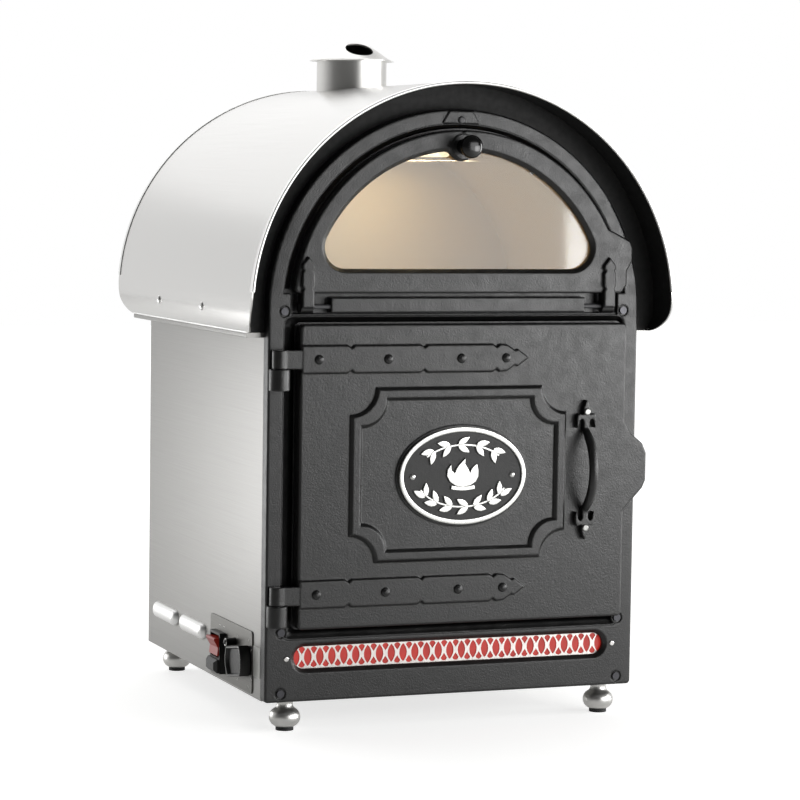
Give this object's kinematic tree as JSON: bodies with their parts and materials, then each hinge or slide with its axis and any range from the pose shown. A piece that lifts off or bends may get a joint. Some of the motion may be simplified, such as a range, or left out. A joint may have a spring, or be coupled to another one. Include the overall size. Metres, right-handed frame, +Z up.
{
  "type": "baked potato oven",
  "caption": "Countertop baked potato oven with a cast front, arched glazed display door, hinged oven door, rolled canopy, chimney, glow grille and side controls.",
  "frame": {"origin": "middle of the overall width and depth, on the surface the feet stand on", "axes": "+X to the right as the cook faces the doors, +Y to the back, +Z up"},
  "size_m": [0.5098, 0.5368, 0.774],
  "materials": {
    "black_enamel": "gloss vitreous enamel",
    "stainless": "fine brushed",
    "polished_stainless": "bright rolled",
    "zinc_steel": "satin",
    "turned_steel": "turned",
    "black_sheet": "satin black",
    "control_black": "satin black",
    "bright_zinc": "bright",
    "door_glass": "clear toughened",
    "red_lens": "glowing",
    "lamp_glass": "frosted, lit",
    "black_knob": "gloss",
    "black_plastic": "matt",
    "red_rocker": "lit",
    "badge_metal": "bright rim on a black field",
    "blank_label": "plain",
    "mineral_wool": "pressed wool",
    "gasket_rope": "woven",
    "rubber": "matt"
  },
  "bodies": {
    "cabinet": {"base_tray": "stainless", "body_arch": "stainless", "canopy": "polished_stainless", "canopy_front_lining": "black_sheet", "canopy_rails": "stainless", "canopy_rear_plate": "black_sheet", "canopy_screws": "bright_zinc", "canopy_spacers": "zinc_steel", "canopy_trim_front": "polished_stainless", "canopy_trim_rear": "polished_stainless", "chassis_rails": "zinc_steel", "chimney_cap": "polished_stainless", "control_housings": "black_plastic", "control_plate": "control_black", "data_label": "blank_label", "display_floor": "zinc_steel", "display_hinge_pins": "bright_zinc", "display_lamps": "lamp_glass", "display_liner": "zinc_steel", "display_shelf": "bright_zinc", "door_catches": "bright_zinc", "fan_baffle": "zinc_steel", "fan_motor": "black_sheet", "feet_front": "turned_steel", "feet_rear": "turned_steel", "flue_tube": "polished_stainless", "foot_pads": "rubber", "frame_bolts": "bright_zinc", "front_frame": "black_enamel", "glow_lamp": "lamp_glass", "glow_lens": "red_lens", "grille": "bright_zinc", "grille_screws": "bright_zinc", "heating_element": "zinc_steel", "insulation_jacket": "mineral_wool", "lamp_holders": "zinc_steel", "oven_hinge_pins": "bright_zinc", "oven_liner": "zinc_steel", "oven_racks": "bright_zinc", "rack_runners": "zinc_steel", "rear_panel": "stainless", "side_panel_left": "stainless", "side_panel_right": "stainless", "supply_inlet": "black_plastic", "switch_body": "black_plastic"},
    "oven_door": {"oven_door": "black_enamel", "oven_door_pan": "zinc_steel", "oven_door_gasket": "gasket_rope", "handle": "black_sheet", "handle_screws": "bright_zinc", "badge": "badge_metal"},
    "display_door": {"display_door": "black_enamel", "display_glass": "door_glass", "glass_clips": "bright_zinc", "display_knob": "black_knob"},
    "rocker": {"rocker": "red_rocker"},
    "timer_knob": {"timer_knob": "black_plastic"},
    "push_button": {"push_button": "black_plastic"},
    "fan_wheel": {"fan_wheel": "zinc_steel"}
  },
  "joints": [
    {"name": "oven_door_hinge", "type": "hinge", "parent": "cabinet", "child": "oven_door", "pos_m": [-0.2125, -0.2314, 0.2852], "axis": [0, 0, -1], "range_deg": [0, 115]},
    {"name": "display_door_hinge", "type": "hinge", "parent": "cabinet", "child": "display_door", "pos_m": [0, -0.2234, 0.47], "axis": [1, 0, 0], "range_deg": [0, 75]},
    {"name": "rocker_tilt", "type": "hinge", "parent": "cabinet", "child": "rocker", "pos_m": [-0.227, -0.0654, 0.0752], "axis": [0, 1, 0], "range_deg": [0, 14]},
    {"name": "timer_turn", "type": "hinge", "parent": "cabinet", "child": "timer_knob", "pos_m": [-0.23, -0.1484, 0.07], "axis": [1, 0, 0], "range_deg": [0, 300]},
    {"name": "button_press", "type": "slide", "parent": "cabinet", "child": "push_button", "axis": [1, 0, 0], "range_m": [0, 0.003], "stiffness_N_per_m": 300},
    {"name": "fan_spin", "type": "hinge", "parent": "cabinet", "child": "fan_wheel", "pos_m": [0.006, 0.1586, 0.283], "axis": [0, 1, 0], "continuous": true}
  ]
}
